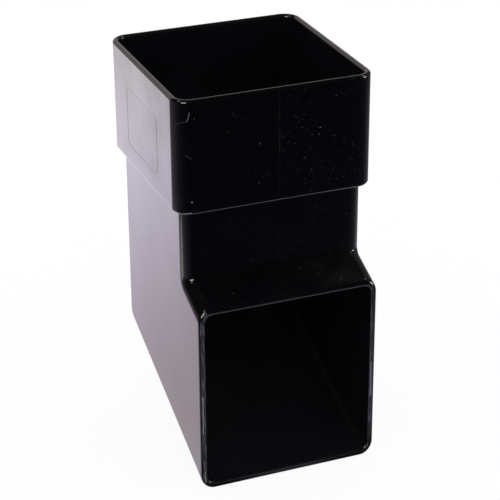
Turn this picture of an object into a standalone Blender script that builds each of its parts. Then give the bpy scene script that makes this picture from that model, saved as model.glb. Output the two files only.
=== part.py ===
"""Downpipe shoe: the moulded outlet at the foot of a square rainwater downpipe.

One injection moulding. A square socket slips over the end of the downpipe, which
lands on a ledge inside it. Below the socket a square tube of the pipe's own width
drops a short way, turns forward through a mitred bend and ends in an upright mouth,
so that the water is thrown clear of the wall.

Frame: the origin is the middle of the ledge that the pipe's end lands on. +Z is up
the pipe, the mouth looks along -Y, and the wall is on the +Y side.

The wall is one closed loft. Every ring of the loft is a rounded square with the same
number of points, and the rings run down the outside, over the lip of the mouth, back
up the bore and over the rim of the socket to where they began.
"""
import math

import bmesh
import bpy
from mathutils import Vector

MM = 0.001

# The pipe that the shoe is made for
PIPE_WIDTH = 65.0 * MM
PIPE_CORNER_RADIUS = 3.5 * MM

# The socket
WALL = 2.2 * MM
SOCKET_CLEARANCE = 0.5 * MM
SOCKET_DEPTH = 37.8 * MM

# The tube below it
BORE_CORNER_RADIUS = 2.8 * MM
NECK_LENGTH = 25.0 * MM
OUTLET_FALL = math.radians(22.0)
MOUTH_REACH = 12.8 * MM
THROAT_RADIUS = 0.8 * MM
HEEL_RADIUS = 8.0 * MM

# Edge roundings
RIM_OUTER_ROUND = 0.5 * MM
RIM_INNER_ROUND = 0.3 * MM
SHOULDER_ROUND = 0.5 * MM
NECK_ROOT_FILLET = 0.8 * MM
LEDGE_FILLET = 0.4 * MM
LIP_OUTER_ROUND = 1.0 * MM
LIP_INNER_ROUND = 0.4 * MM

# Facets of each round stretch
CORNER_STEPS = 8
BEND_STEPS = 10
ROUND_STEPS = 4

# Sizes that follow from those above
SOCKET_BORE = PIPE_WIDTH + 2 * SOCKET_CLEARANCE
SOCKET_WIDTH = SOCKET_BORE + 2 * WALL
SOCKET_BORE_CORNER = PIPE_CORNER_RADIUS + SOCKET_CLEARANCE
SOCKET_CORNER = SOCKET_BORE_CORNER + WALL
TUBE_WIDTH = PIPE_WIDTH
TUBE_BORE = TUBE_WIDTH - 2 * WALL
TUBE_CORNER = BORE_CORNER_RADIUS + WALL
SHOULDER_Z = -WALL
BEND_Z = SHOULDER_Z - NECK_LENGTH
TURN = math.pi / 2 - OUTLET_FALL
MITRE_SLOPE = math.tan(TURN / 2)
MOUTH_Y = -TUBE_WIDTH / 2 - MOUTH_REACH


def clear_scene():
    for thing in list(bpy.data.objects):
        bpy.data.objects.remove(thing, do_unlink=True)


def rounded_square(width, radius):
    """Points (x, y, is_back) of a square with round corners, anticlockwise from above."""
    reach = width / 2 - radius
    points = []
    for quarter, (side_x, side_y) in enumerate(((1, 1), (-1, 1), (-1, -1), (1, -1))):
        for step in range(CORNER_STEPS + 1):
            angle = math.pi / 2 * (quarter + step / CORNER_STEPS)
            x = side_x * reach + radius * math.cos(angle)
            y = side_y * reach + radius * math.sin(angle)
            points.append((x, y, side_y > 0))
    return points


def level_ring(width, radius, z):
    """A ring across the upright part of the shoe."""
    return [Vector((x, y, z)) for x, y, is_back in rounded_square(width, radius)]


def bend_ring(width, radius, turned):
    """A ring of the bend, after the tube has turned by this angle.

    Each line of the tube turns about a centre on the mitre plane: the front lines about
    one just outside the throat, and the back lines about one inside the heel.
    """
    ring = []
    for x, y, is_back in rounded_square(width, radius):
        depth = y + TUBE_WIDTH / 2
        centre_depth = min(depth, TUBE_WIDTH - HEEL_RADIUS) if is_back else -THROAT_RADIUS
        arm = depth - centre_depth
        ring.append(Vector((
            x,
            centre_depth - TUBE_WIDTH / 2 + arm * math.cos(turned),
            BEND_Z - centre_depth * MITRE_SLOPE - arm * math.sin(turned),
        )))
    return ring


def mouth_ring(width, radius, setback):
    """A ring of the outlet where it meets an upright plane, this far behind the mouth."""
    plane_y = MOUTH_Y + setback
    ring = []
    for x, y, is_back in rounded_square(width, radius):
        mitre_z = BEND_Z - (y + TUBE_WIDTH / 2) * MITRE_SLOPE
        ring.append(Vector((x, plane_y, mitre_z - (y - plane_y) * math.tan(OUTLET_FALL))))
    return ring


def quarter_steps():
    """Angles of a quarter round, from its start to its end."""
    return [math.pi / 2 * step / ROUND_STEPS for step in range(ROUND_STEPS + 1)]


def rim_rings():
    """Over the rim, from the socket's bore to its outside."""
    rings = []
    for angle in quarter_steps():
        inset = RIM_INNER_ROUND * (1 - math.cos(angle))
        drop = RIM_INNER_ROUND * (1 - math.sin(angle))
        rings.append(level_ring(SOCKET_BORE + 2 * inset, SOCKET_BORE_CORNER + inset, SOCKET_DEPTH - drop))
    for angle in reversed(quarter_steps()):
        inset = RIM_OUTER_ROUND * (1 - math.cos(angle))
        drop = RIM_OUTER_ROUND * (1 - math.sin(angle))
        rings.append(level_ring(SOCKET_WIDTH - 2 * inset, SOCKET_CORNER - inset, SOCKET_DEPTH - drop))
    return rings


def shoulder_rings():
    """Under the socket's lower edge and into the neck."""
    rings = []
    for angle in quarter_steps():
        inset = SHOULDER_ROUND * (1 - math.cos(angle))
        lift = SHOULDER_ROUND * (1 - math.sin(angle))
        rings.append(level_ring(SOCKET_WIDTH - 2 * inset, SOCKET_CORNER - inset, SHOULDER_Z + lift))
    root = min(NECK_ROOT_FILLET, (SOCKET_WIDTH - TUBE_WIDTH) / 2 - SHOULDER_ROUND)
    for angle in reversed(quarter_steps()):
        outset = root * (1 - math.cos(angle))
        drop = root * (1 - math.sin(angle))
        rings.append(level_ring(TUBE_WIDTH + 2 * outset, TUBE_CORNER + outset, SHOULDER_Z - drop))
    return rings


def bend_rings(width, radius):
    """Through the mitred bend, from upright to the outlet's fall."""
    return [bend_ring(width, radius, TURN * step / BEND_STEPS) for step in range(BEND_STEPS + 1)]


def lip_rings():
    """Over the lip of the mouth, from the outside into the bore."""
    rings = []
    for angle in quarter_steps():
        inset = LIP_OUTER_ROUND * (1 - math.cos(angle))
        setback = LIP_OUTER_ROUND * (1 - math.sin(angle))
        rings.append(mouth_ring(TUBE_WIDTH - 2 * inset, TUBE_CORNER - inset, setback))
    for angle in reversed(quarter_steps()):
        inset = LIP_INNER_ROUND * (1 - math.cos(angle))
        setback = LIP_INNER_ROUND * (1 - math.sin(angle))
        rings.append(mouth_ring(TUBE_BORE + 2 * inset, BORE_CORNER_RADIUS + inset, setback))
    return rings


def ledge_rings():
    """Out of the tube's bore, across the ledge that stops the pipe, into the socket."""
    rings = []
    for angle in quarter_steps():
        outset = LEDGE_FILLET * (1 - math.cos(angle))
        drop = LEDGE_FILLET * (1 - math.sin(angle))
        rings.append(level_ring(TUBE_BORE + 2 * outset, BORE_CORNER_RADIUS + outset, -drop))
    for angle in reversed(quarter_steps()):
        inset = LEDGE_FILLET * (1 - math.cos(angle))
        lift = LEDGE_FILLET * (1 - math.sin(angle))
        rings.append(level_ring(SOCKET_BORE - 2 * inset, SOCKET_BORE_CORNER - inset, lift))
    return rings


def closed_loft(name, rings):
    """A solid whose skin joins each ring to the next, and the last to the first."""
    form = bmesh.new()
    loops = [[form.verts.new(point) for point in ring] for ring in rings]
    count = len(loops[0])
    for loop, after in zip(loops, loops[1:] + loops[:1]):
        for index in range(count):
            following = (index + 1) % count
            form.faces.new((loop[index], after[index], after[following], loop[following]))
    bmesh.ops.recalc_face_normals(form, faces=form.faces)
    mesh = bpy.data.meshes.new(name)
    form.to_mesh(mesh)
    form.free()
    mesh.shade_smooth()
    mesh.set_sharp_from_angle(angle=math.radians(40))
    solid = bpy.data.objects.new(name, mesh)
    bpy.context.collection.objects.link(solid)
    return solid


def gloss_black_plastic():
    """Black rainwater plastic with the shine of a polished mould."""
    material = bpy.data.materials.new("gloss_black_plastic")
    material.use_nodes = True
    shader = material.node_tree.nodes["Principled BSDF"]
    shader.inputs["Base Color"].default_value = (0.006, 0.006, 0.007, 1.0)
    shader.inputs["Roughness"].default_value = 0.16
    shader.inputs["Metallic"].default_value = 0.0
    shader.inputs["IOR"].default_value = 1.54
    material.diffuse_color = (0.02, 0.02, 0.022, 1.0)
    return material


def downpipe_shoe():
    rings = rim_rings()
    rings += shoulder_rings()
    rings += bend_rings(TUBE_WIDTH, TUBE_CORNER)
    rings += lip_rings()
    rings += reversed(bend_rings(TUBE_BORE, BORE_CORNER_RADIUS))
    rings += ledge_rings()
    shoe = closed_loft("downpipe_shoe", rings)
    shoe.data.materials.append(gloss_black_plastic())
    return shoe


clear_scene()
downpipe_shoe()
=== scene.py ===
"""Studio view of a square black plastic downpipe shoe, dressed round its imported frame."""
import math
from functools import reduce

import bpy
from mathutils import Matrix, Quaternion, Vector


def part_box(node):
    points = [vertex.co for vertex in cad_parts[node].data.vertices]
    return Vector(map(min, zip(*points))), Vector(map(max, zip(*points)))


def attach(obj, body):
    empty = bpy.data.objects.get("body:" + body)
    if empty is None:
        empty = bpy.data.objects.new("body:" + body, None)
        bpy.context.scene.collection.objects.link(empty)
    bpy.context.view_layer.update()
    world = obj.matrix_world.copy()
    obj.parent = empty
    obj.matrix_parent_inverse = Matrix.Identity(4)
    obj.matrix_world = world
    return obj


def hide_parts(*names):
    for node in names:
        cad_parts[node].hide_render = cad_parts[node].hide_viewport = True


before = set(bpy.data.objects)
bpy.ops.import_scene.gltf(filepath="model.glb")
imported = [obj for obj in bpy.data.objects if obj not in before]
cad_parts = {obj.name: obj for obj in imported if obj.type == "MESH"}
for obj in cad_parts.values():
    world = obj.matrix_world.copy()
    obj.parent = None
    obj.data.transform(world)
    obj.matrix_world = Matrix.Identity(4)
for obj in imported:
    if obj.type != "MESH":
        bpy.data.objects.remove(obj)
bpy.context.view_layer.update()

# The moulding
# One injection moulding of black rainwater plastic: a square socket, a short neck, and an
# outlet that turns forward through a mitred bend to an upright mouth. Its wall is one
# section swept round a square with round corners, then folded where the tube turns.

MM = 0.001
shoe_low, shoe_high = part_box("downpipe_shoe")

WALL = 2.2 * MM
SOCKET_WIDTH = shoe_high.x - shoe_low.x
SOCKET_BORE = SOCKET_WIDTH - 2 * WALL
SOCKET_BORE_CORNER = 4.0 * MM
SOCKET_CORNER = SOCKET_BORE_CORNER + WALL
SOCKET_FRONT = -SOCKET_WIDTH / 2
RIM_Z = shoe_high.z
SHOULDER_Z = -WALL
PIPE_PLAY = 1.0 * MM
TUBE_WIDTH = SOCKET_BORE - PIPE_PLAY
TUBE_BORE = TUBE_WIDTH - 2 * WALL
BORE_CORNER = 2.8 * MM
TUBE_CORNER = BORE_CORNER + WALL
NECK_LENGTH = 25.0 * MM
BEND_Z = SHOULDER_Z - NECK_LENGTH
OUTLET_FALL = math.radians(22.0)
MOUTH_Y = shoe_low.y
THROAT_RADIUS = 0.8 * MM
HEEL_RADIUS = 8.0 * MM

RIM_OUTER_ROUND = 1.05 * MM
RIM_INNER_ROUND = 1.05 * MM
SHOULDER_ROUND = 0.8 * MM
NECK_ROOT_FILLET = 0.8 * MM
LEDGE_FILLET = 0.4 * MM
LIP_OUTER_ROUND = 1.0 * MM
LIP_INNER_ROUND = 0.5 * MM

ROUND_STEPS = 8
CORNER_STEPS = 20
BEND_STEPS = 24

LEVEL, TURNING, AT_MOUTH = 0, 1, 2
OUTSIDE, INSIDE = 0.0, 1.0


def rounding(kind, half_width, corner, place, radius, toward, rising):
    """Stations round one edge of the wall, each (kind, half width, corner radius, place).

    They run from the side at this half width to the flat at this place. toward is -1 where
    the flat lies in towards the axis and +1 where it lies out, and rising is +1 where the
    side's places are higher than the flat's and -1 where they are lower.
    """
    stations = []
    for step in range(ROUND_STEPS + 1):
        angle = math.pi / 2 * step / ROUND_STEPS
        across = toward * radius * (1 - math.cos(angle))
        along = rising * radius * (1 - math.sin(angle))
        stations.append((kind, half_width + across, corner + across, place + along))
    return stations


def wall_section():
    """The wall's section from the socket's rim down the outside and back up the bore.

    Each station ends with 0 on the outside, which the polished mould shaped, and 1 inside.
    """
    turn = math.pi / 2 - OUTLET_FALL
    bends = [turn * step / BEND_STEPS for step in range(BEND_STEPS + 1)]
    socket, bore = SOCKET_WIDTH / 2, SOCKET_BORE / 2
    tube, tube_bore = TUBE_WIDTH / 2, TUBE_BORE / 2
    outside = list(reversed(rounding(LEVEL, socket, SOCKET_CORNER, RIM_Z, RIM_OUTER_ROUND, -1, -1)))
    outside += rounding(LEVEL, socket, SOCKET_CORNER, SHOULDER_Z, SHOULDER_ROUND, -1, 1)
    outside += reversed(rounding(LEVEL, tube, TUBE_CORNER, SHOULDER_Z, NECK_ROOT_FILLET, 1, -1))
    outside += [(TURNING, tube, TUBE_CORNER, bend) for bend in bends]
    outside += rounding(AT_MOUTH, tube, TUBE_CORNER, 0.0, LIP_OUTER_ROUND, -1, 1)
    inside = list(reversed(rounding(AT_MOUTH, tube_bore, BORE_CORNER, 0.0, LIP_INNER_ROUND, 1, 1)))
    inside += [(TURNING, tube_bore, BORE_CORNER, bend) for bend in reversed(bends)]
    inside += rounding(LEVEL, tube_bore, BORE_CORNER, 0.0, LEDGE_FILLET, 1, -1)
    inside += reversed(rounding(LEVEL, bore, SOCKET_BORE_CORNER, 0.0, LEDGE_FILLET, -1, 1))
    inside += rounding(LEVEL, bore, SOCKET_BORE_CORNER, RIM_Z, RIM_INNER_ROUND, 1, -1)
    return [(*station, OUTSIDE) for station in outside] + [(*station, INSIDE) for station in inside]


def section_object(name, section):
    """A closed wire, one point for each station, that carries the stations' values."""
    count = len(section)
    points = [(station[1], 0.0, -index * MM) for index, station in enumerate(section)]
    mesh = bpy.data.meshes.new(name)
    mesh.from_pydata(points, [(index, (index + 1) % count) for index in range(count)], [])
    for column, (label, data_type) in enumerate((
        ("kind", "INT"), ("half_width", "FLOAT"), ("corner_radius", "FLOAT"), ("place", "FLOAT"),
        ("inside", "FLOAT"),
    )):
        attribute = mesh.attributes.new(label, data_type, "POINT")
        attribute.data.foreach_set("value", [station[column] for station in section])
    wire = bpy.data.objects.new(name, mesh)
    bpy.context.scene.collection.objects.link(wire)
    return wire


class Tree:
    """A node tree that is written as formulas: a call adds its nodes and returns their output."""

    def __init__(self, tree):
        self.tree = tree

    def node(self, kind, *values, **settings):
        """Adds one node, feeds its sockets in their order, and returns the node itself."""
        made = self.tree.nodes.new(kind)
        for setting, value in settings.items():
            setattr(made, setting, value)
        for socket, value in zip(made.inputs, values):
            self.feed(socket, value)
        return made

    def feed(self, socket, value):
        """Links an output to a socket or sets its value, and leaves it as it is for None."""
        if isinstance(value, bpy.types.NodeSocket):
            self.tree.links.new(value, socket)
        elif value is not None:
            socket.default_value = value

    def math(self, operation, *values):
        return self.node("ShaderNodeMath", *values, operation=operation).outputs[0]

    def total(self, *values):
        return reduce(lambda left, right: self.math("ADD", left, right), values)

    def product(self, *values):
        return reduce(lambda left, right: self.math("MULTIPLY", left, right), values)

    def highest(self, *values):
        return reduce(lambda left, right: self.math("MAXIMUM", left, right), values)

    def vector(self, operation, *values):
        return self.node("ShaderNodeVectorMath", *values, operation=operation).outputs[0]

    def scaled(self, vector, factor):
        made = self.node("ShaderNodeVectorMath", vector, operation="SCALE")
        self.feed(made.inputs["Scale"], factor)
        return made.outputs[0]

    def split(self, vector):
        return self.node("ShaderNodeSeparateXYZ", vector).outputs

    def join(self, x, y, z):
        return self.node("ShaderNodeCombineXYZ", x, y, z).outputs[0]

    def measure(self, operation, left, right):
        """A vector operation whose result is a number."""
        return self.node("ShaderNodeVectorMath", left, right, operation=operation).outputs[1]

    def distance(self, place, at):
        """How far a place is from a point that is given in millimetres."""
        return self.measure("DISTANCE", place, Vector(at) * MM)

    def mix(self, share, first, second):
        """Blends two colours."""
        made = self.node("ShaderNodeMix", data_type="RGBA")
        for index, value in ((0, share), (6, first), (7, second)):
            self.feed(made.inputs[index], value)
        return made.outputs[2]

    def line(self, value, start, end, low=0.0, high=1.0):
        """Goes evenly from low to high while the value goes from start to end."""
        return self.node("ShaderNodeMapRange", value, start, end, low, high).outputs[0]

    def ramp(self, value, start, end, low=0.0, high=1.0):
        """Goes smoothly from low to high while the value goes from start to end."""
        made = self.node(
            "ShaderNodeMapRange", value, start, end, low, high, interpolation_type="SMOOTHSTEP")
        return made.outputs[0]

    def noise(self, place, scale, detail, roughness=0.5):
        return self.node("ShaderNodeTexNoise", place, None, scale, detail, roughness).outputs[0]


def new_geometry_tree(name, inputs):
    """An empty geometry tree with these named inputs, each (label, kind of socket)."""
    tree = bpy.data.node_groups.new(name, "GeometryNodeTree")
    tree.interface.new_socket("Geometry", in_out="OUTPUT", socket_type="NodeSocketGeometry")
    for label, kind in inputs:
        tree.interface.new_socket(label, in_out="INPUT", socket_type=kind)
    return tree


def finish_geometry_tree(nodes, geometry, plastic):
    """Ends a geometry tree: the shape is made real and gets its material."""
    real = nodes.node("GeometryNodeRealizeInstances", geometry).outputs[0]
    finished = nodes.node("GeometryNodeSetMaterial", real)
    nodes.feed(finished.inputs["Material"], plastic)
    nodes.node("NodeGroupOutput", finished.outputs[0])


def fold_tree():
    """Sweeps a wall section round a square with round corners, and folds the tube it makes."""
    tree = new_geometry_tree("fold_square_tube", (
        ("Section", "NodeSocketGeometry"), ("Corner Steps", "NodeSocketInt"),
        ("Tube Width", "NodeSocketFloat"), ("Bend Z", "NodeSocketFloat"),
        ("Outlet Fall", "NodeSocketFloat"), ("Mouth Y", "NodeSocketFloat"),
        ("Throat Radius", "NodeSocketFloat"), ("Heel Radius", "NodeSocketFloat"),
        ("Plastic", "NodeSocketMaterial"),
    ))
    nodes = Tree(tree)
    given = nodes.node("NodeGroupInput").outputs

    def station_value(label, data_type="FLOAT"):
        return nodes.node("GeometryNodeInputNamedAttribute", label, data_type=data_type).outputs[0]

    # A template square, 4 wide, with corners of radius 1 about (1, 1), (-1, 1), (-1, -1), (1, -1)
    square = nodes.node("GeometryNodeCurvePrimitiveQuadrilateral", 4.0, 4.0).outputs[0]
    rounded = nodes.node("GeometryNodeFilletCurve", mode="POLY")
    nodes.feed(rounded.inputs["Curve"], square)
    nodes.feed(rounded.inputs["Count"], given["Corner Steps"])
    nodes.feed(rounded.inputs["Radius"], 1.0)
    template = nodes.node("GeometryNodeStoreNamedAttribute", data_type="FLOAT_VECTOR", domain="POINT")
    nodes.feed(template.inputs["Geometry"], rounded.outputs[0])
    nodes.feed(template.inputs["Name"], "template")
    nodes.feed(template.inputs["Value"], nodes.node("GeometryNodeInputPosition").outputs[0])

    profile = nodes.node("GeometryNodeMeshToCurve", given["Section"]).outputs[0]
    swept = nodes.node("GeometryNodeCurveToMesh")
    nodes.feed(swept.inputs["Curve"], template.outputs[0])
    nodes.feed(swept.inputs["Profile Curve"], profile)

    # Across the tube: the corner's centre, and the corner's radius along the way it faces
    half_width = station_value("half_width")
    radius = station_value("corner_radius")
    place = station_value("place")
    on_template = station_value("template", "FLOAT_VECTOR")
    corner = nodes.vector("SIGN", on_template)
    facing = nodes.vector("SUBTRACT", on_template, corner)
    centre = nodes.scaled(corner, nodes.math("SUBTRACT", half_width, radius))
    x, y, unused = nodes.split(nodes.vector("ADD", centre, nodes.scaled(facing, radius)))

    # Round the bend: each line of the tube turns about its own centre on the mitre plane
    half_tube = nodes.math("DIVIDE", given["Tube Width"], 2.0)
    turn = nodes.math("SUBTRACT", math.pi / 2, given["Outlet Fall"])
    mitre = nodes.math("TANGENT", nodes.math("DIVIDE", turn, 2.0))
    depth = nodes.total(y, half_tube)
    deepest = nodes.math("SUBTRACT", given["Tube Width"], given["Heel Radius"])
    heel = nodes.math("MINIMUM", depth, deepest)
    throat = nodes.product(given["Throat Radius"], -1.0)
    at_back = nodes.math("GREATER_THAN", nodes.split(corner)[1], 0.0)
    turns_at = nodes.node("GeometryNodeSwitch", at_back, throat, heel, input_type="FLOAT").outputs[0]
    reach = nodes.math("SUBTRACT", depth, turns_at)
    bend_y = nodes.total(
        nodes.math("SUBTRACT", turns_at, half_tube), nodes.product(reach, nodes.math("COSINE", place)))
    drop = nodes.total(nodes.product(turns_at, mitre), nodes.product(reach, nodes.math("SINE", place)))
    bend_z = nodes.math("SUBTRACT", given["Bend Z"], drop)

    # At the mouth: the line is followed down the outlet to an upright plane
    mouth_y = nodes.total(given["Mouth Y"], place)
    run = nodes.product(nodes.math("SUBTRACT", y, mouth_y), nodes.math("TANGENT", given["Outlet Fall"]))
    mitre_z = nodes.math("SUBTRACT", given["Bend Z"], nodes.product(depth, mitre))
    mouth_z = nodes.math("SUBTRACT", mitre_z, run)

    by_kind = nodes.node("GeometryNodeIndexSwitch", data_type="VECTOR")
    by_kind.index_switch_items.new()
    nodes.feed(by_kind.inputs[0], station_value("kind", "INT"))
    nodes.feed(by_kind.inputs[1 + LEVEL], nodes.join(x, y, place))
    nodes.feed(by_kind.inputs[1 + TURNING], nodes.join(x, bend_y, bend_z))
    nodes.feed(by_kind.inputs[1 + AT_MOUTH], nodes.join(x, mouth_y, mouth_z))
    folded = nodes.node("GeometryNodeSetPosition", swept.outputs[0])
    nodes.feed(folded.inputs["Position"], by_kind.outputs[0])

    smooth = nodes.node("GeometryNodeSetShadeSmooth", folded.outputs[0]).outputs[0]
    finish_geometry_tree(nodes, smooth, given["Plastic"])
    return tree


# The plastic's colours: outside, and inside lifted by painted light, then where it is marked, then the
# dust on it
PLASTIC_BLACK = (0.0010, 0.0012, 0.0020, 1.0)
# Greyer than outside: painted light that lifts the shade inside the bore
PAINTED_LIGHT_INSIDE_BLACK = (0.0036, 0.0038, 0.0054, 1.0)
HAIRLINE_GREY = (0.006, 0.006, 0.007, 1.0)
WELD_GREY = (0.030, 0.031, 0.026, 1.0)
TORN_GREY = (0.20, 0.19, 0.24, 1.0)
# Also the colour of the painted highlight on the shoulder
SCRATCH_AND_HIGHLIGHT_GREY = (0.26, 0.25, 0.30, 1.0)
SETTLED_DUST = (0.30, 0.26, 0.24, 1.0)
LOOSE_DUST = (0.30, 0.28, 0.26, 1.0)
HAIRLINE_SHARE, WELD_SHARE = 0.5, 0.38

# Its shine as moulded and as cut, and how much rougher each mark makes it
PLASTIC_IOR = 1.54
MOULDED_SPECULAR, CUT_SPECULAR = 0.5, 0.2
SMEAR_ROUGHNESS = (0.055, 0.14)
INSIDE_ROUGHNESS = 0.08
HAIRLINE_ROUGHNESS = 0.10
DUST_ROUGHNESS = 0.6
CUT_ROUGHNESS = 0.26

# The plastic's patterns, by how many of their cells lie along a metre
CLOUD_SCALE = 75.0
SPECK_SCALE = 1200.0
PATCH_SCALE = 120.0
HAIRLINE_SCALE, HAIRLINE_RUN_SCALE = 1500.0, 70.0
FURROW_SCALE, FURROW_LEAN_SCALE, FURROW_RUN_SCALE = 4200.0, 140.0, 190.0
WELD_SCALE = 160.0
SMEAR_SCALE = 55.0
WAVE_SCALE = 38.0
RIPPLE_SCALE = 260.0
DENT_SCALE = 420.0

# The noise's values between which a pattern goes from bare to full, and what bare and full are
CLOUD_EDGE, CLOUD_LEVELS = (0.38, 0.60), (0.55, 1.0)
PATCH_EDGE, PATCH_LEVELS = (0.30, 0.70), (0.5, 1.5)
FURROW_EDGE = (0.50, 0.72)
WELD_EDGE = (0.42, 0.62)
SMEAR_EDGE = (0.35, 0.75)
HAIRLINE_SOFTNESS = 0.06

# How high they stand, and how deep the scratches go
WAVE_HEIGHT = 0.16 * MM
RIPPLE_HEIGHT = 0.0065 * MM
DENT_HEIGHT = 0.04 * MM
DUST_HEIGHT = 0.04 * MM
TORN_HEIGHT = 0.02 * MM
HAIRLINE_DEPTH = 0.0015 * MM
SCRATCH_DEPTH = 0.03 * MM

# The largest speck's radius, the smallest one's share of it, and how much of its radius a
# speck or a scratch covers in full
SPECK_RADIUS = 0.34 * MM
SMALLEST_SPECK = 0.35
SPECK_CORE, SCRATCH_CORE = 0.5, 0.3

# Far from the thick dust and in it: how dense the specks are, how faint most of them are, and
# how strong the few bright ones are, which the powers pick out
SPECK_DENSITIES = (0.78, 1.0)
INSIDE_DENSITY = 0.5
FILM_POWER, FILM_LEVELS = 2.0, (0.075, 0.085)
BRIGHT_POWER, BRIGHT_LEVELS = 20.0, (0.02, 0.06)

# The settled dust: how level a face has to be, and its cover from the middle to the right
LEVEL_FACES = (0.4, 0.95)
SETTLED_SPAN, SETTLED_LEVELS = (0.0, 32.0 * MM), (0.002, 0.011)

# Where the dust is thick, and how far from there it is at its thinnest and at its thickest
DUST_CENTRES = ((15.0, -35.2, 17.0), (22.0, -35.2, 12.0))
DUST_FADE = (30.0 * MM, 3.0 * MM)

# Single grains of dust, (place, radius) in millimetres
GRAINS = (
    ((-6.3, -35.2, 19.5), 0.17), ((-6.7, -35.2, 5.7), 0.16), ((15.0, -35.2, 21.9), 0.16),
    ((20.1, -35.2, 18.3), 0.14), ((9.4, -35.2, 11.9), 0.11), ((20.6, -35.2, 32.3), 0.11),
    ((9.2, -35.2, 27.4), 0.10), ((-30.3, -35.1, 2.5), 0.25), ((14.7, -35.2, 19.5), 0.12),
    ((12.2, -35.2, 19.9), 0.12), ((27.1, -35.2, 14.0), 0.10), ((23.8, -35.2, 15.2), 0.08),
    ((19.8, -35.2, 16.5), 0.08), ((6.1, -35.2, 17.6), 0.08), ((-29.0, -35.2, 31.5), 0.10),
    ((3.0, -34.5, -28.0), 0.10), ((7.7, -35.5, -28.4), 0.13), ((-18.4, -40.6, -30.5), 0.14),
    ((20.2, -32.5, -26.4), 0.10), ((13.3, -38.9, -29.8), 0.14), ((0.5, -32.5, -19.0), 0.08),
    ((-8.6, -32.5, -23.7), 0.14), ((26.3, -32.5, -12.4), 0.09), ((-15.7, -32.5, -6.8), 0.08),
)

# Hairlines, by the way across them, the way along them, and how rare they are
HAIRLINES = (
    ((0.55, 0.60, 0.58), (-0.70, 0.10, 0.70), 0.70),
    ((0.62, -0.50, -0.60), (0.40, -0.55, 0.73), 0.71),
    ((-0.25, 0.35, 0.90), (0.80, 0.60, 0.02), 0.73),
)

# Deeper scratches and one painted highlight, (points, half width, strength), the first two in
# millimetres
SCRATCHES_AND_HIGHLIGHT = (
    (((-31.3, -34.76, 30.8), (-30.9, -34.91, 32.4), (-30.5, -35.01, 33.7)), 0.17, 0.42),
    (((-34.35, -32.13, 29.0), (-34.17, -32.42, 29.7), (-33.75, -32.98, 29.95), (-33.15, -33.61, 30.15),
      (-32.29, -34.26, 30.5), (-31.3, -34.76, 30.8)), 0.16, 0.10),
    (((-34.35, -32.13, 29.0), (-34.59, -31.67, 26.5)), 0.14, 0.07),
    (((-31.92, -34.47, 19.1), (-31.0, -34.86, 18.4), (-30.12, -35.1, 17.6)), 0.20, 0.09),
    # A painted highlight: a pale stroke along the shoulder's round at the front-left corner
    (((-32.74, -33.91, -1.6), (-31.75, -34.54, -1.5), (-30.53, -35.01, -1.34)), 0.16, 0.70),
    (((-31.41, -45.3, -65.36), (-31.53, -45.3, -72.39), (-31.57, -45.29, -79.62)), 0.16, 0.85),
    (((-31.29, -45.3, -94.77), (-31.06, -45.3, -97.38), (-30.91, -45.3, -99.26)), 0.20, 0.75),
    (((30.95, -45.3, -64.68), (31.05, -45.3, -72.03), (31.21, -45.3, -78.14)), 0.18, 0.85),
)

# The cut lip: from where its flats show across the mouth, how close behind the mouth, and how
# torn they are, which on the right is less outside the middle of the wall
LIP_FLAT_SIDE = (28.5 * MM, 30.0 * MM)
LIP_FLAT_SETBACK = (0.22 * MM, 0.05 * MM)
TORN_SHARE = 0.6
TORN_INWARD, TORN_OUTSIDE = (0.2, 0.7), 0.25

# The weld line: its place across the socket, how far to a side it ends and is full, and how
# far behind the front it still shows
WELD_X = 0.55 * MM
WELD_FADE = (0.18 * MM, 0.06 * MM)
WELD_FAINTEST = 0.30
WELD_SETBACK = 0.2 * MM

# Small dents on the left of the socket, in millimetres, and how far they reach
DENTED_PLACE = (-35.2, 24.0, 26.0)
DENTED_FADE = (10.0 * MM, 3.0 * MM)


def flecks(nodes, place, density):
    """Small round specks, smaller at a lower density: their cover, and a random number for each.

    A cell's colour is its point's place in it, so the random numbers are drawn anew from it.
    """
    cells = nodes.node(
        "ShaderNodeTexVoronoi", place, None, SPECK_SCALE, voronoi_dimensions="3D", feature="F1")
    drawn = nodes.node("ShaderNodeTexWhiteNoise", cells.outputs["Color"], noise_dimensions="3D")
    random_size, random_shade, unused = nodes.split(drawn.outputs["Color"])
    largest = SPECK_RADIUS * SPECK_SCALE
    size = nodes.product(nodes.line(random_size, 0.0, 1.0, SMALLEST_SPECK * largest, largest), density)
    full_within = nodes.product(size, SPECK_CORE)
    return nodes.line(cells.outputs["Distance"], size, full_within), random_shade


def loose_dust(nodes, place, inside):
    """Dust: thin all over, thickest on the socket's front, right of its middle, and some grains."""
    cloud = nodes.ramp(nodes.noise(place, CLOUD_SCALE, detail=4.0), *CLOUD_EDGE, *CLOUD_LEVELS)
    near = nodes.math("MINIMUM", *(nodes.distance(place, centre) for centre in DUST_CENTRES))
    near = nodes.ramp(near, *DUST_FADE)
    density = nodes.product(
        cloud,
        nodes.line(inside, OUTSIDE, INSIDE, 1.0, INSIDE_DENSITY),
        nodes.line(near, 0.0, 1.0, *SPECK_DENSITIES),
    )
    specks, shade = flecks(nodes, place, density)
    film = nodes.product(
        nodes.math("POWER", shade, FILM_POWER), nodes.line(near, 0.0, 1.0, *FILM_LEVELS))
    bright = nodes.product(
        nodes.math("POWER", shade, BRIGHT_POWER), nodes.line(near, 0.0, 1.0, *BRIGHT_LEVELS))
    grains = [
        nodes.ramp(nodes.distance(place, at), radius * MM, radius * SPECK_CORE * MM)
        for at, radius in GRAINS
    ]
    return nodes.highest(nodes.product(specks, nodes.total(film, bright)), *grains)


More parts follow.
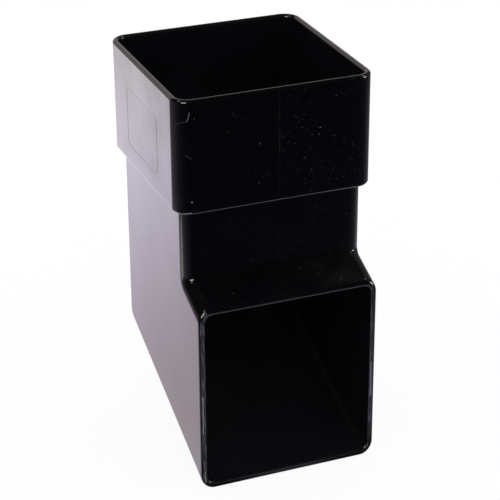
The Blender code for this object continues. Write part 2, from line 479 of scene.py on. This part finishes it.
def settled_dust(nodes, place, x):
    """A film of settled dust on what faces up, thicker to the right."""
    upward = nodes.split(nodes.node("ShaderNodeNewGeometry").outputs["Normal"])[2]
    to_right = nodes.ramp(x, *SETTLED_SPAN, *SETTLED_LEVELS)
    patchy = nodes.ramp(nodes.noise(place, PATCH_SCALE, detail=4.0), *PATCH_EDGE, *PATCH_LEVELS)
    return nodes.product(nodes.ramp(upward, *LEVEL_FACES), to_right, patchy)


def hairline(nodes, place, across, along, share):
    """Fine straight scratches that run along one way, each some 15 mm long."""
    fine = nodes.product(nodes.measure("DOT_PRODUCT", place, Vector(across)), HAIRLINE_SCALE)
    coarse = nodes.product(nodes.measure("DOT_PRODUCT", place, Vector(along)), HAIRLINE_RUN_SCALE)
    streaks = nodes.noise(nodes.join(fine, coarse, 0.0), scale=1.0, detail=1.0)
    return nodes.ramp(streaks, share, share + HAIRLINE_SOFTNESS)


def stroke_cover(nodes, place, points, half_width):
    """The cover of one stroke that runs through these points, given in millimetres: a scratch, and once
    a painted highlight.
    """
    pieces = []
    for start, end in zip(points, points[1:]):
        start, end = Vector(start) * MM, Vector(end) * MM
        length = (end - start).length
        way = (end - start) / length
        from_start = nodes.vector("SUBTRACT", place, start)
        along = nodes.measure("DOT_PRODUCT", from_start, way)
        within = nodes.node("ShaderNodeClamp", along, 0.0, length).outputs[0]
        apart = nodes.measure("DISTANCE", from_start, nodes.scaled(way, within))
        pieces.append(nodes.ramp(apart, half_width * MM, half_width * SCRATCH_CORE * MM))
    return nodes.highest(*pieces)


def cut_lip(nodes, x, y, z, inside):
    """The trimmed lip: its flats on both sides of the mouth, and pale torn streaks down them."""
    upright = nodes.ramp(nodes.math("ABSOLUTE", x), *LIP_FLAT_SIDE)
    close_behind = nodes.ramp(y, *(MOUTH_Y + setback for setback in LIP_FLAT_SETBACK))
    on_flat = nodes.product(close_behind, upright)
    across = nodes.total(nodes.product(x, FURROW_SCALE), nodes.product(z, FURROW_LEAN_SCALE))
    down = nodes.product(z, FURROW_RUN_SCALE)
    furrows = nodes.noise(nodes.join(across, down, 0.0), scale=1.0, detail=2.0)
    on_left = nodes.math("LESS_THAN", x, 0.0)
    how_torn = nodes.highest(on_left, nodes.ramp(inside, *TORN_INWARD, TORN_OUTSIDE, 1.0))
    torn = nodes.product(nodes.ramp(furrows, *FURROW_EDGE, 0.0, TORN_SHARE), on_flat, how_torn)
    return on_flat, torn


def weld_line(nodes, place, x, y, z):
    """The weld line, where the melt met down the middle of the socket's front."""
    beside = nodes.math("ABSOLUTE", nodes.math("SUBTRACT", x, WELD_X))
    broken = nodes.ramp(nodes.noise(place, WELD_SCALE, detail=2.0), *WELD_EDGE, WELD_FAINTEST, 1.0)
    on_front = nodes.product(
        nodes.math("LESS_THAN", y, SOCKET_FRONT + WELD_SETBACK),
        nodes.math("GREATER_THAN", z, SHOULDER_Z),
    )
    return nodes.product(nodes.ramp(beside, *WELD_FADE), broken, on_front)


def gloss_black_plastic():
    """Black plastic from a polished mould, with the dust and light rubs of a stocked fitting."""
    material = bpy.data.materials.new("gloss_black_plastic")
    material.use_nodes = True
    tree = material.node_tree
    shader = tree.nodes["Principled BSDF"]
    shader.inputs["IOR"].default_value = PLASTIC_IOR
    nodes = Tree(tree)
    place = nodes.node("ShaderNodeTexCoord").outputs["Object"]
    x, y, z = nodes.split(place)
    inside = nodes.node("ShaderNodeAttribute", attribute_name="inside").outputs["Fac"]
    outside = nodes.math("SUBTRACT", 1.0, inside)

    # What lies on the plastic and marks it, each as a share of 0 to 1
    dust = loose_dust(nodes, place, inside)
    settled = nodes.product(settled_dust(nodes, place, x), outside)
    hairlines = nodes.highest(*(hairline(nodes, place, *row) for row in HAIRLINES))
    hairlines = nodes.product(hairlines, outside)
    scratches_and_highlight = nodes.highest(*(
        nodes.product(stroke_cover(nodes, place, points, half_width), strength)
        for points, half_width, strength in SCRATCHES_AND_HIGHLIGHT
    ))
    on_flat, torn = cut_lip(nodes, x, y, z, inside)
    weld = weld_line(nodes, place, x, y, z)

    # The colour: near black, greyer inside where painted light lifts the bore's shade, with grey dust,
    # paler scratches and a painted highlight
    shade = nodes.mix(inside, PLASTIC_BLACK, PAINTED_LIGHT_INSIDE_BLACK)
    for share, colour in (
        (nodes.product(hairlines, HAIRLINE_SHARE), HAIRLINE_GREY),
        (nodes.product(weld, WELD_SHARE), WELD_GREY),
        (torn, TORN_GREY), (scratches_and_highlight, SCRATCH_AND_HIGHLIGHT_GREY), (settled, SETTLED_DUST), (dust, LOOSE_DUST),
    ):
        shade = nodes.mix(share, shade, colour)
    nodes.feed(shader.inputs["Base Color"], shade)

    # The shine: high, duller inside and under smears, dust and scratches, and weak on the cut lip
    smears = nodes.noise(place, SMEAR_SCALE, detail=4.0, roughness=0.6)
    roughness = nodes.total(
        nodes.ramp(smears, *SMEAR_EDGE, *SMEAR_ROUGHNESS),
        nodes.product(inside, INSIDE_ROUGHNESS),
        nodes.product(hairlines, HAIRLINE_ROUGHNESS),
        nodes.product(nodes.highest(dust, scratches_and_highlight), DUST_ROUGHNESS),
        nodes.product(on_flat, CUT_ROUGHNESS),
    )
    nodes.feed(shader.inputs["Roughness"], roughness)
    specular = nodes.line(on_flat, 0.0, 1.0, MOULDED_SPECULAR, CUT_SPECULAR)
    nodes.feed(shader.inputs["Specular IOR Level"], specular)

    # The surface: slow waves where the thick wall sank, a fine ripple, and what marks it
    dented = nodes.ramp(nodes.distance(place, DENTED_PLACE), *DENTED_FADE)
    height = nodes.total(
        nodes.product(nodes.noise(place, WAVE_SCALE, detail=1.0), WAVE_HEIGHT),
        nodes.product(nodes.noise(place, RIPPLE_SCALE, detail=2.0), RIPPLE_HEIGHT),
        nodes.product(dented, nodes.noise(place, DENT_SCALE, detail=1.0), DENT_HEIGHT),
        nodes.product(dust, DUST_HEIGHT),
        nodes.product(hairlines, -HAIRLINE_DEPTH),
        nodes.product(scratches_and_highlight, -SCRATCH_DEPTH),
        nodes.product(torn, TORN_HEIGHT),
    )
    bump = nodes.node("ShaderNodeBump")
    bump.inputs["Strength"].default_value = 1.0
    bump.inputs["Distance"].default_value = 1.0
    nodes.feed(bump.inputs["Height"], height)
    nodes.feed(shader.inputs["Normal"], bump.outputs[0])
    return material


def set_input(modifier, label, value):
    """Sets a geometry modifier's input by the identifier of its named socket."""
    for item in modifier.node_group.interface.items_tree:
        if item.item_type == "SOCKET" and item.in_out == "INPUT" and item.name == label:
            modifier[item.identifier] = value


def baked(host, tree, inputs):
    """The plain mesh that a node tree makes of this object, which is then deleted."""
    modifier = host.modifiers.new("shape", "NODES")
    modifier.node_group = tree
    for label, value in inputs.items():
        set_input(modifier, label, value)
    bpy.context.view_layer.update()
    mesh = bpy.data.meshes.new_from_object(host.evaluated_get(bpy.context.evaluated_depsgraph_get()))
    bpy.data.objects.remove(host, do_unlink=True)
    return mesh


wire = section_object("shoe_section", wall_section())
plastic = gloss_black_plastic()
moulding_mesh = baked(wire, fold_tree(), {
    "Corner Steps": CORNER_STEPS, "Tube Width": TUBE_WIDTH, "Bend Z": BEND_Z, "Outlet Fall": OUTLET_FALL,
    "Mouth Y": MOUTH_Y, "Throat Radius": THROAT_RADIUS, "Heel Radius": HEEL_RADIUS, "Plastic": plastic,
})
for left_over in ("template", "kind", "half_width", "corner_radius", "place"):
    attribute = moulding_mesh.attributes.get(left_over)
    if attribute:
        moulding_mesh.attributes.remove(attribute)
moulding = bpy.data.objects.new("shoe_moulding", moulding_mesh)
bpy.context.scene.collection.objects.link(moulding)

# A plain panel on the left of the socket, outlined by the joint of the mould's insert
PANEL_LOW = (-15.4 * MM, 5.0 * MM)
PANEL_HIGH = (15.4 * MM, 26.0 * MM)
PANEL_CORNER = 2.0 * MM
PANEL_CORNER_STEPS = 8
PANEL_LINE_WIDTH = 0.30 * MM
PANEL_LINE_DEPTH = 0.03 * MM


def line_tree():
    """A fine line with a flat lozenge for its section, run round a rectangle with round corners."""
    tree = new_geometry_tree("insert_line", (
        ("Length", "NodeSocketFloat"), ("Height", "NodeSocketFloat"), ("Corner", "NodeSocketFloat"),
        ("Line Width", "NodeSocketFloat"), ("Line Depth", "NodeSocketFloat"),
        ("Plastic", "NodeSocketMaterial"),
    ))
    nodes = Tree(tree)
    given = nodes.node("NodeGroupInput").outputs
    rectangle = nodes.node(
        "GeometryNodeCurvePrimitiveQuadrilateral", given["Length"], given["Height"]).outputs[0]
    path = nodes.node("GeometryNodeFilletCurve", mode="POLY")
    nodes.feed(path.inputs["Curve"], rectangle)
    nodes.feed(path.inputs["Count"], PANEL_CORNER_STEPS)
    nodes.feed(path.inputs["Radius"], given["Corner"])
    lozenge = nodes.node("GeometryNodeCurvePrimitiveCircle")
    nodes.feed(lozenge.inputs["Resolution"], 4)
    nodes.feed(lozenge.inputs["Radius"], 1.0)
    across, up, unused = nodes.split(nodes.node("GeometryNodeInputPosition").outputs[0])
    flattened = nodes.node("GeometryNodeSetPosition", lozenge.outputs[0])
    half_line = nodes.math("DIVIDE", given["Line Width"], 2.0)
    nodes.feed(flattened.inputs["Position"], nodes.join(
        nodes.product(across, half_line), nodes.product(up, given["Line Depth"]), 0.0))
    swept = nodes.node("GeometryNodeCurveToMesh")
    nodes.feed(swept.inputs["Curve"], path.outputs[0])
    nodes.feed(swept.inputs["Profile Curve"], flattened.outputs[0])
    finish_geometry_tree(nodes, swept.outputs[0], given["Plastic"])
    return tree


def on_insert_line(point):
    """True on the cut line round the panel."""
    reach = PANEL_LINE_WIDTH
    return (point.x < -SOCKET_WIDTH / 2 + 2 * PANEL_LINE_DEPTH
            and PANEL_LOW[0] - reach < point.y < PANEL_HIGH[0] + reach
            and PANEL_LOW[1] - reach < point.z < PANEL_HIGH[1] + reach)


# The insert's line is cut into the socket's left face
line_host = bpy.data.objects.new("insert_line", bpy.data.meshes.new("insert_line"))
bpy.context.scene.collection.objects.link(line_host)
line_mesh = baked(line_host, line_tree(), {
    "Length": PANEL_HIGH[0] - PANEL_LOW[0], "Height": PANEL_HIGH[1] - PANEL_LOW[1],
    "Corner": PANEL_CORNER, "Line Width": PANEL_LINE_WIDTH, "Line Depth": PANEL_LINE_DEPTH,
    "Plastic": plastic,
})
line_mesh.transform(Matrix((
    (0.0, 0.0, 1.0, -SOCKET_WIDTH / 2),
    (1.0, 0.0, 0.0, (PANEL_LOW[0] + PANEL_HIGH[0]) / 2),
    (0.0, 1.0, 0.0, (PANEL_LOW[1] + PANEL_HIGH[1]) / 2),
    (0.0, 0.0, 0.0, 1.0),
)))
insert_line = bpy.data.objects.new("insert_line", line_mesh)
bpy.context.scene.collection.objects.link(insert_line)
cut = moulding.modifiers.new("cut", "BOOLEAN")
cut.operation = "DIFFERENCE"
cut.solver = "EXACT"
cut.object = insert_line
bpy.context.view_layer.update()
cut_mesh = bpy.data.meshes.new_from_object(
    moulding.evaluated_get(bpy.context.evaluated_depsgraph_get()))
moulding.modifiers.clear()
for edge in cut_mesh.edges:
    ends = [cut_mesh.vertices[index].co for index in edge.vertices]
    if all(on_insert_line(end) for end in ends):
        edge.use_edge_sharp = True
moulding.data = cut_mesh
bpy.data.objects.remove(insert_line, do_unlink=True)

# The flats keep plain normals, so that the roundings alone bend the reflections
FULL_WEIGHT = 100
flats = moulding.modifiers.new("flats", "WEIGHTED_NORMAL")
flats.mode = "FACE_AREA"
flats.weight = FULL_WEIGHT
flats.keep_sharp = True
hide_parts("downpipe_shoe")
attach(moulding, "root")

# The floor
# A sheet of white paper that the shoe stands on. In the shoe's gloss it is bright behind and
# to the left, where the light pools on it, and it falls to black towards the dark front.

FLOOR_SIZE = 6.0
FLOOR_GAP = 0.2 * MM
PAPER_WHITE = (0.99, 0.99, 0.99, 1.0)
PURE_WHITE = (1.0, 1.0, 1.0, 1.0)
SHADOW_SHARE = 0.08

# Beside the shoe and behind it: the light's level, and from where to where it rises or fades,
# with the pool's left edge leaning back to the left
BASE_LEVEL = 1.2
RISES_BEHIND, RISE_BEHIND = (0.0, 0.27), 1.1
FADES_BEHIND, FAINTEST_BEHIND = (0.28, 0.60), 0.55
FADES_LEFT, FAINTEST_LEFT = (-0.60, -0.35), 0.2
BEHIND_SHOE, LEFT_OF_POOL = (0.05, 0.12), 0.52
POOL_SIDE, POOL_LEAN = 0.045, 0.263
POOL_EDGE = (-0.045, -0.008)
BEFORE_MOUTH, LEVEL_BEFORE_MOUTH = (-0.066, -0.050), 1.1
UNDER_MOUTH, LEVEL_UNDER_MOUTH = (-0.047, -0.030), 0.25

# Round the mouth's corners: levels by the direction from the corner, in degrees
MOUTH_CORNER = Vector((0.032, -0.045))
LIGHT_AT_LEFT = (
    (-90.0, 0.02), (-60.0, 0.025), (-47.0, 0.06), (-34.5, 0.10), (-22.0, 0.17), (-9.5, 0.24),
    (2.5, 0.35), (14.5, 0.55), (25.5, 0.70), (37.5, 0.80), (49.0, 0.92), (61.0, 1.05), (90.0, 1.2),
)
LIGHT_AT_RIGHT = (
    (-90.0, 0.02), (-66.5, 0.03), (-63.0, 0.08), (-44.0, 0.11), (-24.0, 0.16), (-14.0, 0.21),
    (-3.0, 0.34), (7.0, 0.48), (17.0, 0.56), (27.0, 0.60), (37.0, 0.70), (47.0, 0.85), (90.0, 1.0),
)

# How far off it fades and by how much, and where the paper in front of the mouth takes over
FIRST_FADE, FIRST_FADED = (0.13, 0.26), 0.38
SECOND_FADE, SECOND_FADED = (0.29, 0.39), 0.75
FRONT_AT_LEFT, FRONT_AT_RIGHT = (-58.0, -40.0), (-35.0, -15.0)
FRONT_REACH = (0.085, 0.120)
FOOT_SHADE_REACH, FOOT_SHADE_ENDS, FOOT_SHADE_LEVEL = (0.006, 0.030), (0.0, 30.0), 0.08
CORNER_LIGHT_ENDS = (69.0, 60.0)

# A warm streak of light on the paper, on the left
STREAK_ANGLE, STREAK_LEVEL = 33.0, 1.2
STREAK_WIDTH, STREAK_REACH = (14.0, 3.0), (0.24, 0.20)
STREAK_TINT, STREAK_TINT_SHARE = (1.15, 0.98, 0.68, 1.0), 0.8

# The light's tint, by how far back
TINTS = (
    (-0.08, (0.95, 0.94, 1.18, 1.0)),
    (0.00, (1.08, 0.91, 1.00, 1.0)),
    (0.10, (1.02, 0.91, 1.07, 1.0)),
    (0.24, (1.00, 0.92, 1.08, 1.0)),
    (0.34, (1.02, 0.94, 1.03, 1.0)),
)


def stops(nodes, value, table):
    """Looks a value up in a table of (value, colour or level)."""
    low, high = table[0][0], table[-1][0]
    ramp = nodes.node("ShaderNodeValToRGB", nodes.line(value, low, high))
    for index, (at, shown) in enumerate(table):
        elements = ramp.color_ramp.elements
        stop = elements[index] if index < 2 else elements.new(1.0)
        stop.position = (at - low) / (high - low)
        stop.color = shown if isinstance(shown, tuple) else (shown, shown, shown, 1.0)
    return ramp.outputs[0]


def blend(nodes, share, first, second):
    """Goes from the first level to the second as the share goes from 0 to 1."""
    return nodes.node("ShaderNodeMix", share, None, first, second).outputs[0]


def pool_of_light(nodes, x, y):
    """The level of the light on the paper, and how much of it is the warm streak."""
    leaning = nodes.total(x, POOL_SIDE, nodes.product(y, POOL_LEAN))
    left_of_pool = nodes.line(nodes.ramp(y, *BEHIND_SHOE), 0.0, 1.0, 1.0, LEFT_OF_POOL)
    under_mouth = nodes.ramp(y, *UNDER_MOUTH, LEVEL_UNDER_MOUTH, 1.0)
    level = nodes.product(
        nodes.total(nodes.ramp(y, *RISES_BEHIND, 0.0, RISE_BEHIND), BASE_LEVEL),
        nodes.ramp(y, *FADES_BEHIND, 1.0, FAINTEST_BEHIND),
        nodes.ramp(x, *FADES_LEFT, FAINTEST_LEFT, 1.0),
        nodes.ramp(leaning, *POOL_EDGE, left_of_pool, 1.0),
        nodes.ramp(y, *BEFORE_MOUTH, LEVEL_BEFORE_MOUTH, under_mouth),
    )

    # Round the corners of the mouth, by the direction from the corner and how far off
    out = nodes.math("SUBTRACT", nodes.math("ABSOLUTE", x), MOUTH_CORNER.x)
    back = nodes.math("SUBTRACT", y, MOUTH_CORNER.y)
    angle = nodes.math("DEGREES", nodes.math("ARCTAN2", back, out))
    far = nodes.math("SQRT", nodes.total(nodes.product(out, out), nodes.product(back, back)))
    at_right = nodes.math("GREATER_THAN", x, 0.0)
    at_corner = blend(
        nodes, at_right, stops(nodes, angle, LIGHT_AT_LEFT), stops(nodes, angle, LIGHT_AT_RIGHT))
    fade = nodes.product(
        nodes.ramp(far, *FIRST_FADE, 1.0, FIRST_FADED),
        nodes.ramp(far, *SECOND_FADE, 1.0, SECOND_FADED),
    )
    aside = nodes.math("ABSOLUTE", nodes.math("SUBTRACT", angle, STREAK_ANGLE))
    streak = nodes.product(
        nodes.ramp(aside, *STREAK_WIDTH),
        nodes.ramp(far, *STREAK_REACH),
        nodes.math("LESS_THAN", x, 0.0),
    )
    at_corner = nodes.total(nodes.product(at_corner, fade), nodes.product(streak, STREAK_LEVEL))

    # Just in front of the mouth the paper is bright again, but for the shade at the shoe's foot
    to_side = blend(
        nodes, at_right, nodes.ramp(angle, *FRONT_AT_LEFT), nodes.ramp(angle, *FRONT_AT_RIGHT))
    open_floor = nodes.highest(nodes.ramp(far, *FRONT_REACH), to_side)
    foot_shade = nodes.highest(
        nodes.ramp(far, *FOOT_SHADE_REACH, FOOT_SHADE_LEVEL, 1.0),
        nodes.ramp(angle, *FOOT_SHADE_ENDS),
    )
    corner_share = nodes.product(open_floor, nodes.ramp(angle, *CORNER_LIGHT_ENDS))
    return blend(nodes, corner_share, nodes.product(level, foot_shade), at_corner), streak


def floor_material():
    """Paper: white with a faint shadow to the eye, and a pool of light to the gloss."""
    material = bpy.data.materials.new("white_paper")
    material.use_nodes = True
    tree = material.node_tree
    tree.nodes.clear()
    nodes = Tree(tree)
    x, y, unused = nodes.split(nodes.node("ShaderNodeTexCoord").outputs["Object"])
    level, streak = pool_of_light(nodes, x, y)
    in_streak = nodes.product(streak, STREAK_TINT_SHARE)
    tint = nodes.mix(in_streak, stops(nodes, y, TINTS), STREAK_TINT)
    in_gloss = nodes.node("ShaderNodeEmission", tint, level).outputs[0]
    white = nodes.node("ShaderNodeEmission", PURE_WHITE, 1.0).outputs[0]
    lit = nodes.node("ShaderNodeBsdfDiffuse", PAPER_WHITE).outputs[0]
    seen = nodes.node("ShaderNodeMixShader", SHADOW_SHARE, white, lit).outputs[0]
    ray = nodes.node("ShaderNodeLightPath").outputs
    plain = nodes.node("ShaderNodeMixShader", ray["Is Camera Ray"], lit, seen).outputs[0]
    shown = nodes.node("ShaderNodeMixShader", ray["Is Glossy Ray"], plain, in_gloss).outputs[0]
    nodes.node("ShaderNodeOutputMaterial", shown)
    return material


floor_z = shoe_low.z - FLOOR_GAP
floor_mesh = bpy.data.meshes.new("floor")
half = FLOOR_SIZE / 2
floor_mesh.from_pydata(
    [(-half, -half, floor_z), (half, -half, floor_z), (half, half, floor_z), (-half, half, floor_z)],
    [], [(0, 1, 2, 3)],
)
floor_mesh.materials.append(floor_material())
floor = bpy.data.objects.new("floor", floor_mesh)
bpy.context.scene.collection.objects.link(floor)

# The light
# Plain soft light from all round. The gloss shows a pale wall behind the shoe, a dark room in
# front of it, and four warm lamps, a large one low and a small one high on each side.

# The pale wall, by the direction that it is seen in: its edge, its top, and its level to a side
WALL_EDGE, WALL_TOP = (0.60, 0.80), (0.50, 0.80)
WALL_SIDE, WALL_LEVELS = (-0.1, 0.5), (0.66, 0.56)
ROOM_LEVEL = 0.02
GLOW_SIDE, GLOW_LEVEL = (0.45, 0.95), 0.16
TINT_SIDE_RIGHT, TINT_SIDE_LEFT = (0.0, 0.5), (-0.12, -0.30)
WALL_TINT = (1.03, 0.95, 1.02, 1.0)
WALL_TINT_RIGHT = (1.06, 0.97, 0.90, 1.0)
WALL_TINT_LEFT = (1.14, 0.97, 0.84, 1.0)


def studio_world():
    """White round the shoe, and to its gloss a pale wall behind and a dark room in front."""
    world = bpy.data.worlds.new("studio")
    world.use_nodes = True
    tree = world.node_tree
    tree.nodes.clear()
    nodes = Tree(tree)
    x, y, z = nodes.split(nodes.node("ShaderNodeTexCoord").outputs["Generated"])
    wall = nodes.product(
        nodes.ramp(y, *WALL_EDGE), nodes.ramp(x, *WALL_SIDE, *WALL_LEVELS),
        nodes.ramp(z, *WALL_TOP, 1.0, 0.0))
    level = nodes.total(wall, ROOM_LEVEL, nodes.ramp(x, *GLOW_SIDE, 0.0, GLOW_LEVEL))
    tint = nodes.mix(nodes.ramp(x, *TINT_SIDE_RIGHT), WALL_TINT, WALL_TINT_RIGHT)
    tint = nodes.mix(nodes.ramp(x, *TINT_SIDE_LEFT), tint, WALL_TINT_LEFT)
    in_gloss = nodes.node("ShaderNodeBackground", tint, level).outputs[0]
    white = nodes.node("ShaderNodeBackground", PURE_WHITE, 1.0).outputs[0]
    ray = nodes.node("ShaderNodeLightPath").outputs
    shown = nodes.node("ShaderNodeMixShader", ray["Is Glossy Ray"], white, in_gloss).outputs[0]
    nodes.node("ShaderNodeOutputWorld", shown)
    return world


bpy.context.scene.world = studio_world()

# Warm square lamps, (azimuth, elevation, half width in degrees, radiance)
LAMPS = {
    "lamp_left_front": (-137.0, 20.0, 14.0, 8.0),
    "lamp_right_front": (118.0, 2.0, 8.0, 16.0),
    "lamp_left_above": (-88.0, 53.0, 5.0, 10.0),
    "lamp_right_above": (97.0, 50.0, 5.0, 8.0),
}
LAMP_DISTANCE = 1.2
LAMP_COLOUR = (1.0, 0.92, 0.82)

for name, (azimuth, elevation, half_width, radiance) in LAMPS.items():
    azimuth, elevation = math.radians(azimuth), math.radians(elevation)
    direction = Vector((
        math.sin(azimuth) * math.cos(elevation),
        math.cos(azimuth) * math.cos(elevation),
        math.sin(elevation),
    ))
    lamp_data = bpy.data.lights.new(name, "AREA")
    lamp_data.shape = "SQUARE"
    lamp_data.size = 2 * LAMP_DISTANCE * math.tan(math.radians(half_width))
    lamp_data.energy = radiance * math.pi * lamp_data.size ** 2
    lamp_data.color = LAMP_COLOUR
    lamp = bpy.data.objects.new(name, lamp_data)
    lamp.visible_diffuse = False
    lamp.visible_camera = False
    lamp.location = direction * LAMP_DISTANCE
    lamp.rotation_mode = "QUATERNION"
    lamp.rotation_quaternion = direction.to_track_quat("Z", "Y")
    bpy.context.scene.collection.objects.link(lamp)

# The camera
# It looks down on the shoe from its left front, some 64 cm away.

CAMERA_AIM = Vector((3.27, -1.29, -36.03)) * MM
CAMERA_DISTANCE = 643.3 * MM
CAMERA_AZIMUTH = math.radians(-21.57)
CAMERA_ELEVATION = math.radians(25.86)
CAMERA_ROLL = math.radians(-0.35)
SENSOR = 36.0
FRAME_PIXELS = 500
FOCAL_PIXELS = 1802.6

camera_data = bpy.data.cameras.new("camera")
camera_data.sensor_width = SENSOR
camera_data.lens = SENSOR * FOCAL_PIXELS / FRAME_PIXELS
camera = bpy.data.objects.new("camera", camera_data)
bpy.context.scene.collection.objects.link(camera)
back = Vector((
    math.sin(CAMERA_AZIMUTH) * math.cos(CAMERA_ELEVATION),
    -math.cos(CAMERA_AZIMUTH) * math.cos(CAMERA_ELEVATION),
    math.sin(CAMERA_ELEVATION),
))
camera.location = CAMERA_AIM + back * CAMERA_DISTANCE
camera.rotation_mode = "QUATERNION"
camera.rotation_quaternion = (-back).to_track_quat("-Z", "Y") @ Quaternion((0, 0, 1), CAMERA_ROLL)
bpy.context.scene.camera = camera
bpy.context.scene.view_settings.view_transform = "Standard"
